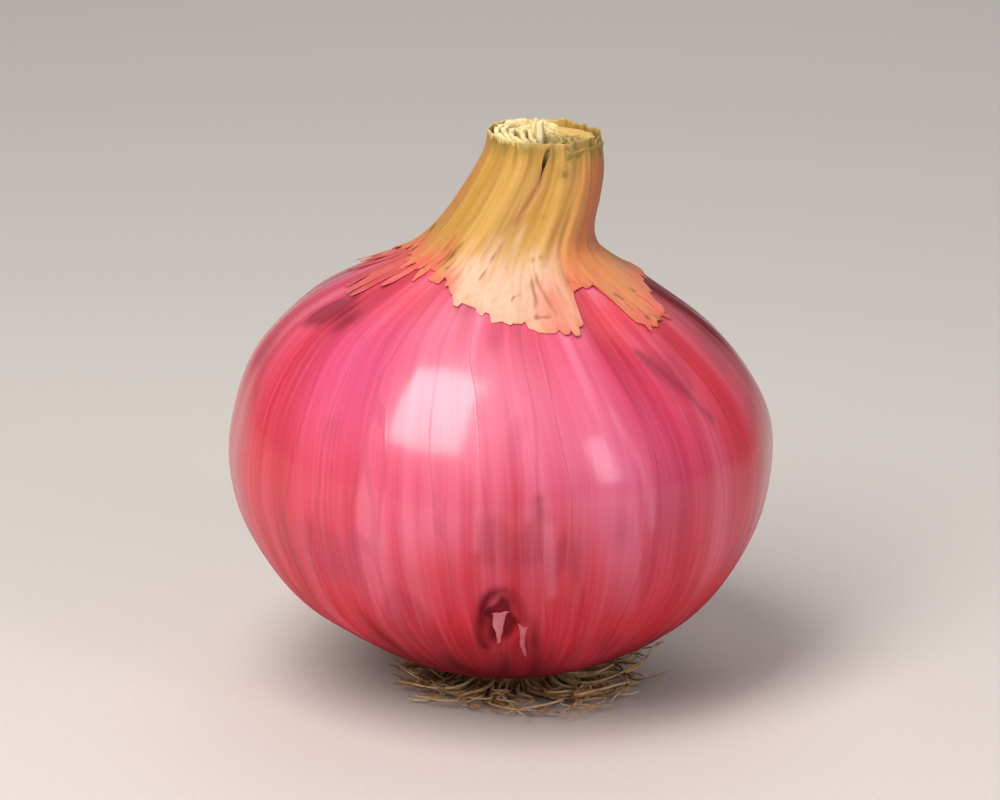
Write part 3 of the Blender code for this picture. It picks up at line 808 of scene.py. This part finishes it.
def drySkinMasks(bearing, along, hem, end):
    at = skinSpace(bearing, along)
    wobble = relief(at, 4.5, 71)
    ragged = relief(at, 1.6, 72)
    streaky = relief(skinSpace(bearing, along * 0.2), 1.7, 73)
    tints = {key: blots(bearing, along, spots) for key, spots in drySkin["tints"].items()}
    foot = smooth(68.2, 61.2, along + 0.9 * wobble + 0.6 * streaky)
    cream = foot * facing(bearing, -122, -55, 7) * (1 - 0.25 * smooth(0, 1.2, ragged))
    orange = facing(bearing, -57, -2, 7) + 0.7 * facing(bearing, -176, -128, 8) + 0.6 * seen(bearing, 90, 80)
    orange *= smooth(69, 61, along + streaky)
    orange += 0.75 * seen(bearing, -32, 22) * plateau(60, 66, 73, 76, along)
    fromHem = along - hem + 0.7 * ragged + 0.5 * streaky
    creamSide = facing(bearing, -112, -56, 5)
    salmon = 0.8 * smooth(3.2, 0.3, fromHem) + 0.5 * foot * smooth(0.2, 1.0, wobble + 0.5 * streaky)
    salmon *= 1 - creamSide
    salmon += 0.22 * creamSide * smooth(1.4, 0.0, fromHem)
    pinkFoot = 0.75 * seen(bearing, -65, 8) + 0.4 * seen(bearing, -118, 9)
    salmon += pinkFoot * smooth(64, 58, along + streaky)
    rust = seen(bearing, -12, 22) * plateau(62, 67, 73.5, 76.5, along)
    rust += 0.45 * seen(bearing, -174, 12) * smooth(66, 70, along)
    rust += 0.7 * seen(bearing, 40, 30) * smooth(70, 60, along + streaky)
    rust += tints["rust"] + tints["roughRust"] * (0.7 + 0.5 * ragged)
    scorch = drawnLines(bearing + 0.01 * ragged, along, drySkin["scorches"])
    scorch *= np.clip(0.75 + 0.5 * ragged, 0, 1)
    # the creases and the groove drawn darker, partly brown marks and partly painted shade in the folds
    creaseMarkAndShade = drawnLines(bearing + 0.006 * wobble, along, drySkin["creases"] + [(drySkin["groove"], 0.3)])
    creaseMarkAndShade *= np.clip(0.7 + 0.6 * ragged, 0, 1)
    edge = np.exp((hem - along) / 0.2) * (0.25 + 0.3 * np.clip(ragged, -1, 1))
    # the pale cut edge at the rim, made paler towards the left by painted light
    toLeft = smooth(-0.1, 0.7, towards(bearing, 165))
    paleRimAndLight = smooth(-0.7, -0.1, along - end + 0.25 * ragged) * (0.25 + 0.75 * toLeft)
    # painted shade: olive under the edge of the rim, where the neck's end lies in shade
    oliveRimShade = smooth(-3.2, -0.6, along - end + 0.5 * streaky)
    oliveRimShade *= 0.35 + 0.65 * np.clip(0.6 + 0.6 * wobble, 0, 1)
    masks = packed({
        "neckTint": (cream, orange, salmon),
        "neckMarks": (scorch, creaseMarkAndShade, edge),
        "neckEnds": (paleRimAndLight, np.maximum(oliveRimShade, tints["olive"]), rust),
    })
    masks["skinPlace"] = skinPlace(bearing, along)
    return masks


def makeDrySkin():
    columns, rows = drySkin["columns"], drySkin["rows"]
    crackAlong, crackBearing, crackWidth = np.transpose(drySkin["crack"])
    slot = np.linspace(0, 1, columns + 1)  # the first and the last column meet at the crack
    bearing = math.radians(crackBearing[0]) + turn * slot
    hem = hemAlong(bearing)
    leftUp = 0.35 * smooth(-0.2, 1.0, towards(bearing, 150))
    rise = np.minimum(drySkin["rimRise"] + rimTear(bearing)[0] + leftUp, drySkin["rimRiseMost"])
    end = rimAlong + rise
    hem[-1], end[-1] = hem[0], end[0]
    share = np.linspace(0, 1, rows)[:, None]
    share -= 0.05 * np.sin(turn * share)  # rows stand closer at the torn edges
    along = hem + (end - hem) * share
    middle = np.radians(np.interp(along, crackAlong, crackBearing))
    gap = np.interp(along, crackAlong, crackWidth) / onOutline(along, "radius")
    around = middle + gap / 2 + (turn - gap) * slot
    points = onSide(around, along, drySkinLift(around, along, hem)).reshape(-1, 3)
    masks = drySkinMasks(*(values.ravel() for values in np.broadcast_arrays(around, along, hem, end)))
    piece = pieceFromMesh("papery_skin", points, gridFaces(rows, columns + 1, False), sunDriedNeckSkin(), masks)
    sheet = bmesh.new()
    sheet.from_mesh(piece.data)
    bmesh.ops.remove_doubles(sheet, verts=sheet.verts, dist=1e-7)
    sheet.to_mesh(piece.data)
    sheet.free()
    thicken(piece, drySkin["thickness"], -1)
    return dress(piece, "dry_skin", "dry_skin")


makeDrySkin()
print("papery skin made")


# The dried leaf bases in the neck's cut end

sheaths = {
    # share of the rim's radius, rise, unevenness, tone (0 pale, 1 straw), seed
    "rings": [
        (1.05, 0.9, 0.25, 0.0, 3), (0.85, 0.8, 0.3, 0.1, 8), (0.69, 0.5, 0.3, 0.15, 15),
        (0.52, 0.4, 0.3, 0.2, 24), (0.32, 0.5, 0.3, 0.25, 29)],
    "overlap": 0.5,  # how far the ends of each rolled leaf pass each other, as an angle
    "depth": 2.4,
    "riseMost": 1.4,
    "columns": 150,
    "rows": 12,
    "thickness": 0.5,
    "shade": 1.5,  # how deep below the rim it is fully in shade
    "placeHeight": 60,  # height that the materials take as 1
    # a sliver of leaf that stands up in the middle: x and y from the neck's middle, width, foot and top over
    # the rim
    "sliver": (-0.9, 0.4, 1.3, -2.0, 1.75),
    "sliverColumns": 14,
}


def makeSheaths():
    parts = []

    def keep(bearing, x, y, height, tone):
        shady = smooth(0.35, -0.45, towards(bearing, 155))  # painted shade: away from the lit back left the rings are drawn straw
        parts.append((joined(x, y, height), gridFaces(*height.shape, False), {
            "skinPlace": joined(np.cos(bearing), np.sin(bearing), height / sheaths["placeHeight"]),
            "depthShade": np.clip((rimHeight - height) / sheaths["shade"], 0, 1),
            "pieceTone": tone + (1 - tone) * shady,
        }))

    level = np.linspace(0, 1, sheaths["rows"])[:, None]
    slot = np.linspace(0, 1, sheaths["columns"])
    for index, (share, rise, unevenness, tone, seed) in enumerate(sheaths["rings"]):
        bearing = math.radians(-70 + 97 * index) + slot * (turn + sheaths["overlap"])
        around = skinSpace(bearing, 0.0) * 0.18
        ragged = relief(around, 2.2, seed)
        leftUp = smooth(-0.2, 0.9, towards(bearing, 150))
        top = rise * leftUp - 0.5 * (1 - leftUp)
        top += 0.55 * unevenness * np.round(ragged * 1.6) / 1.6 + 0.1 * relief(around, 0.8, seed + 5)
        top = np.minimum(top, sheaths["riseMost"])
        height = rimHeight - sheaths["depth"] + (top + sheaths["depth"]) * level
        radius = form["neckRim"][0] * share * (1 + 0.12 * (0.5 - slot))
        radius = radius * (1 + 0.05 * relief(around, 4.0, seed + 1))
        radius = radius + 0.22 * (level - 0.6) * smooth(-0.8, 1, ragged)
        leanX, leanY = sway(np.minimum(height, rimHeight + 0.2))
        keep(bearing, leanX + radius * np.cos(bearing), leanY + radius * np.sin(bearing), height, tone)
    x, y, width, foot, top = sheaths["sliver"]
    across = np.linspace(-0.5, 0.5, sheaths["sliverColumns"])
    crown = top - 0.5 * np.abs(across * 1.6) ** 1.5 - 0.25 * np.sin(9 * across)
    height = rimHeight + foot + (crown - foot) * level
    leanX, leanY = sway(rimHeight)
    x = leanX + x + across * width * (1 - 0.25 * level)
    y = leanY + y - 0.2 * (2 * across) ** 2 * width + 0.2 * level
    keep(math.radians(155) + across * 0.4, x, y, height, 0.0)
    piece = pieceFromParts("inner_sheaths", parts, driedInnerSheath())
    thicken(piece, sheaths["thickness"], 0)
    return dress(piece, "dry_skin")


makeSheaths()
print("inner sheaths made")


# Torn strips of skin on the shoulders, and flakes at the old tear

strips = {
    # bearing and along at the root, the same at the tip, width, tone (0 crimson to 1 gold), lift at the tip
    "drawn": [
        (-172, 65.0, -165, 56.8, 2.1, 0.3, 0.13), (-162, 64.8, -157, 57.0, 1.8, 0.42, 0.13),
        (-154, 64.0, -153, 57.0, 1.7, 0.26, 0.14), (-147, 64.2, -146, 59.0, 1.6, 0.5, 0.1),
        (-180, 64.4, 173, 57.4, 2.0, 0.3, 0.12), (172, 63.8, 163, 58.0, 1.7, 0.5, 0.15),
        (-139, 64.0, -136, 60.8, 1.3, 0.72, 0.06), (-31, 56.6, -33, 51.4, 1.6, 0.62, 0.1),
        (-21, 56.4, -21, 51.8, 1.4, 0.45, 0.1)],
    # more of them round the back: how many, bearings from and to, and the ranges of the along at the root,
    # the turn to the tip, the along at the tip, the width, the tone and the lift
    "scattered": 16,
    "back": (28, 160),
    "ranges": [(61, 63.5), (-9, 9), (52.5, 58.5), (0.9, 2.1), (0.1, 0.9), (0.15, 0.5)],
    # lifted flakes at the old tear, in the same terms, with tone from dark (0) to pale (1)
    "flakes": [(-90.6, 22.5, -92.4, 17.6, 2.7, 0.95, 0.22), (-85.5, 20.6, -84.8, 15.2, 1.5, 0.75, 0.16)],
    "steps": 26,
    "across": 8,
    "thickness": 0.07,
    "placeLength": 8,  # mm that the materials take for a strip's length
}


def makeStrips(name, rows, slotName, finish, taper):
    draw = np.random.default_rng(77)
    share = np.linspace(0, 1, strips["steps"])[:, None]
    across = np.linspace(-0.5, 0.5, strips["across"] + 1)
    free = smooth(0.3, 0.75, share)  # the root lies close to the bulb, under the hem
    parts = []
    for index, (rootBearing, rootAlong, tipBearing, tipAlong, width, tone, lift) in enumerate(rows):
        way = (tipBearing - rootBearing + 180) % 360 - 180
        wave = draw.uniform(0, turn)
        along = rootAlong + (tipAlong - rootAlong) * share * (1 - 0.16 * np.abs(across) * np.sin(wave * 3))
        along += (0.07 * np.sin(11 * across + wave) + 0.5 * across * np.sin(wave + 2)) * (1 - share)
        bearing = np.radians(rootBearing + way * share + 0.9 * share * np.sin(3.5 * share + wave))
        narrowed = width * (0.85 + 0.15 * np.sin(2.2 * share * math.pi + wave)) * (1 - 0.8 * share**taper)
        frayed = 0.12 * np.sin(17 * share + 9 * across + wave) * share
        bearing = bearing + across * (narrowed + frayed) / onOutline(along, "radius")
        curl = 0.06 + 0.03 * np.sin(5 * share + wave) + 0.04 * (across * 2) ** 2 * np.sin(wave * 2 + 1)
        rise = 0.04 + lift * share**1.6 + free * curl
        grid = onSide(bearing, along, rise + bulbRelief(bearing, along))
        beside = across * width
        parts.append((grid, gridFaces(*along.shape, False), {
            "stripPlace": joined(beside + 3.1 * index, beside + 1.7 * index, share * strips["placeLength"]),
            "pieceTone": tone + 0.12 * (1 - share),
            "edgeShade": np.abs(across * 2) ** 6 + share**8,
        }))
    piece = pieceFromParts(name, parts, finish)
    thicken(piece, strips["thickness"], 0)
    return dress(piece, slotName)


def scatteredStrips():
    draw = np.random.default_rng(78)
    rows, (first, last) = [], strips["back"]
    for k in range(strips["scattered"]):
        at = first + (last - first) * (k + draw.uniform(0.1, 0.9)) / strips["scattered"]
        rootAlong, way, tipAlong, width, tone, lift = (draw.uniform(*span) for span in strips["ranges"])
        rows.append((at, rootAlong, at + way, tipAlong, width, tone, lift))
    return rows


makeStrips("frayed_strips", strips["drawn"] + scatteredStrips(), "dry_skin", frayedSkinStrip(
    "frayedSkinStrip",
    [(0.0, "#8a1f2c"), (0.3, "#c03840"), (0.55, "#dc5a54"), (0.8, "#de7850"), (1.0, "#cf9842")],
    "#f08c80", "#9a2c30", "#d9786a"), 4)
makeStrips("tear_flakes", strips["flakes"], "bulb_skin", frayedSkinStrip(
    "liftedFlakeSkin", [(0.0, "#6c1020"), (0.4, "#9c2438"), (0.75, "#c8505e"), (1.0, "#d8747f")],
    "#e8a0a8", "#8c1c30", "#9a3444"), 0.38)
print("frayed strips and flakes made")


# The root plate and its dried roots

rootTuft = {
    # the plate's side: radius, height
    "plate": [(5.6, 0.0), (6.6, 0.35), (7.15, 0.9), (7.4, 1.5), (7.2, 2.2), (6.2, 2.9), (4.5, 3.1)],
    "flatRings": (1.2, 2.4, 3.5, 4.5, 5.1),  # their radii, on the flat spot that it stands on
    "plateTop": 3.15,
    "plateRings": 26,
    "plateColumns": 160,
    "roots": 190,
    "length": (4.0, 11.0),  # from and to, on the long side
    "longSide": -25,  # bearing in degrees
    "shortShare": 0.45,  # their length on the other side, as a share of the long side's
    "thickness": (0.44, 0.17),  # at the plate and at the tip
    "start": 6.2,  # how far from the middle they leave the plate
    "steps": 18,
    "sides": 6,
}


def makeRootPlate():
    columns = rootTuft["plateColumns"]
    bearing = np.arange(columns) * turn / columns
    profile = np.array(rootTuft["plate"])
    lengths = lengthsOf(profile)
    at = np.linspace(0, lengths[-1], rootTuft["plateRings"])
    rings = [(radius, 0.0) for radius in rootTuft["flatRings"]]
    rings += zip(np.interp(at, lengths, profile[:, 0]), np.interp(at, lengths, profile[:, 1]))
    rows = []
    for radius, height in rings:
        grid = joined(radius * np.cos(bearing), radius * np.sin(bearing), height)
        if height > 0:
            lumps = relief(grid, 1.3, 91) * 0.16 + relief(grid, 0.6, 92) * 0.07
            out = (lumps + 0.1 * np.sin(turn * height / 0.8)) * smooth(5.2, 6.6, radius)
            grid[:, 0] += out * np.cos(bearing)
            grid[:, 1] += out * np.sin(bearing)
        else:
            grid[:, 2] = np.maximum(0, relief(grid, 1.1, 93) * 0.14 - 0.02) * smooth(0, 2, radius)
        rows.append(grid)
    points = np.vstack(rows + [[0, 0, 0], [0, 0, rootTuft["plateTop"]]])
    piece = pieceFromMesh("root_plate", points, closedFaces(len(rows), columns), corkyRootPlate(), {})
    return dress(piece, "root_tuft", "root_tuft")


def makeRoots():
    draw = np.random.default_rng(5)
    steps, sides, count = rootTuft["steps"], rootTuft["sides"], rootTuft["roots"]
    shortShare = rootTuft["shortShare"]
    share = np.linspace(0, 1, steps)
    corners = (np.arange(sides) * turn / sides)[:, None]
    faces = [tuple(reversed(face)) for face in gridFaces(steps, sides, True)]
    faces += [tuple(range(sides)), tuple((steps - 1) * sides + j for j in reversed(range(sides)))]
    parts = []
    for k in range(count):
        bearing = turn * (k + draw.uniform(-0.6, 0.6)) / count
        sideShare = (1 + towards(bearing, rootTuft["longSide"])) / 2
        length = draw.uniform(*rootTuft["length"]) * (shortShare + (1 - shortShare) * sideShare)
        thick, thin = (size * draw.uniform(0.7, 1.25) for size in rootTuft["thickness"])
        wiggle = draw.uniform(-1.0, 1.0) * share**1.5
        wiggle += 0.16 * np.sin(share * draw.uniform(6, 14) + draw.uniform(0, turn)) * share
        distance = rootTuft["start"] + (1.0 + length) * share
        heading = bearing + wiggle * length / rootTuft["length"][1]
        leave = draw.uniform(0.45, 2.1)
        lay = thick / 2 + draw.uniform(0, 0.9)
        height = leave + (lay - leave) * smooth(0.0, draw.uniform(0.35, 0.8), share)
        height += draw.uniform(0, 1.3) * share**3
        height += 0.2 * np.sin(share * draw.uniform(5, 11) + draw.uniform(0, turn)) * share
        radius = (thick + (thin - thick) * share) / 2 * (1 + 0.12 * np.sin(share * 40 + k))
        radius[-1] *= 0.35
        height = np.maximum(height, radius + 0.01)
        path = np.column_stack([distance * np.cos(heading), distance * np.sin(heading), height])
        ahead = np.gradient(path, axis=0)
        ahead /= np.linalg.norm(ahead, axis=1)[:, None]
        acrossWay = np.cross(ahead, [0, 0, 1])
        acrossWay /= np.linalg.norm(acrossWay, axis=1)[:, None]
        upWay = np.cross(acrossWay, ahead)
        ring = acrossWay[:, None] * np.cos(corners) + upWay[:, None] * np.sin(corners)
        tube = path[:, None] + ring * radius[:, None, None]
        parts.append((tube, faces, {"pieceTone": draw.uniform(0, 1), "rootShare": share[:, None]}))
    return dress(pieceFromParts("dried_roots", parts, driedRoots()), "root_tuft", "root_tuft")


makeRootPlate()
makeRoots()
print("root plate and roots made")


# Floor, light and camera

studio = {
    # metres and watts
    "floorHalf": 3.0,
    "lookAt": (-0.0008, 0.0, 0.0308),
    "elevation": math.radians(16),
    "distance": 0.40,
    "lens": 135,
    "world": ("#f2f4f8", 0.24),  # colour and strength
    # name, direction to the light, distance, where it aims, width, height, power, colour
    "lights": [
        ("keySoftbox", (-0.325, -0.50, 0.77), 0.46, (0, 0, 0.03), 0.205, 0.44, 2.6, "#fff4f2"),
        ("sideSoftbox", (0.66, -0.66, 0.40), 0.60, (0, 0, 0.03), 0.16, 0.34, 0.8, "#fff0f6"),
        ("topFill", (0.1, 0.62, 0.78), 1.30, (0, 0, 0.03), 1.20, 1.20, 2.4, "#ffffff"),
        ("floorFill", (0.05, 0.72, 0.69), 0.80, (0, 0.52, 0), 0.50, 0.40, 0.7, "#fffaf6"),
    ],
}


def setUp(name, data, place, aim):
    made = bpy.data.objects.new(name, data)
    made.location = place
    made.rotation_euler = (place - aim).to_track_quat("Z", "Y").to_euler()
    bpy.context.scene.collection.objects.link(made)
    return made


def makeStudio():
    scene = bpy.context.scene
    corners = np.array([(-1, -1, 0), (1, -1, 0), (1, 1, 0), (-1, 1, 0)]) * studio["floorHalf"] / toMetres
    floor = pieceFromMesh("floor", corners, [(0, 1, 2, 3)], matPaperFloor(), {})
    hexColour, strength = studio["world"]
    scene.world = bpy.data.worlds.new("studioAir")
    scene.world.use_nodes = True
    air = scene.world.node_tree.nodes["Background"]
    air.inputs["Color"].default_value = linear(hexColour)
    air.inputs["Strength"].default_value = strength
    target = Vector(studio["lookAt"])
    for name, direction, distance, aim, width, height, power, hexColour in studio["lights"]:
        lamp = bpy.data.lights.new(name, "AREA")
        lamp.shape = "RECTANGLE"
        lamp.size, lamp.size_y = width, height
        lamp.energy = power
        lamp.color = linear(hexColour)[:3]
        setUp(name, lamp, target + Vector(direction).normalized() * distance, Vector(aim))
    lens = bpy.data.cameras.new("camera")
    lens.lens = studio["lens"]
    back = Vector((0, -math.cos(studio["elevation"]), math.sin(studio["elevation"])))
    scene.camera = setUp("camera", lens, target + back * studio["distance"], target)
    scene.view_settings.view_transform = "Standard"


makeStudio()
print("studio made")
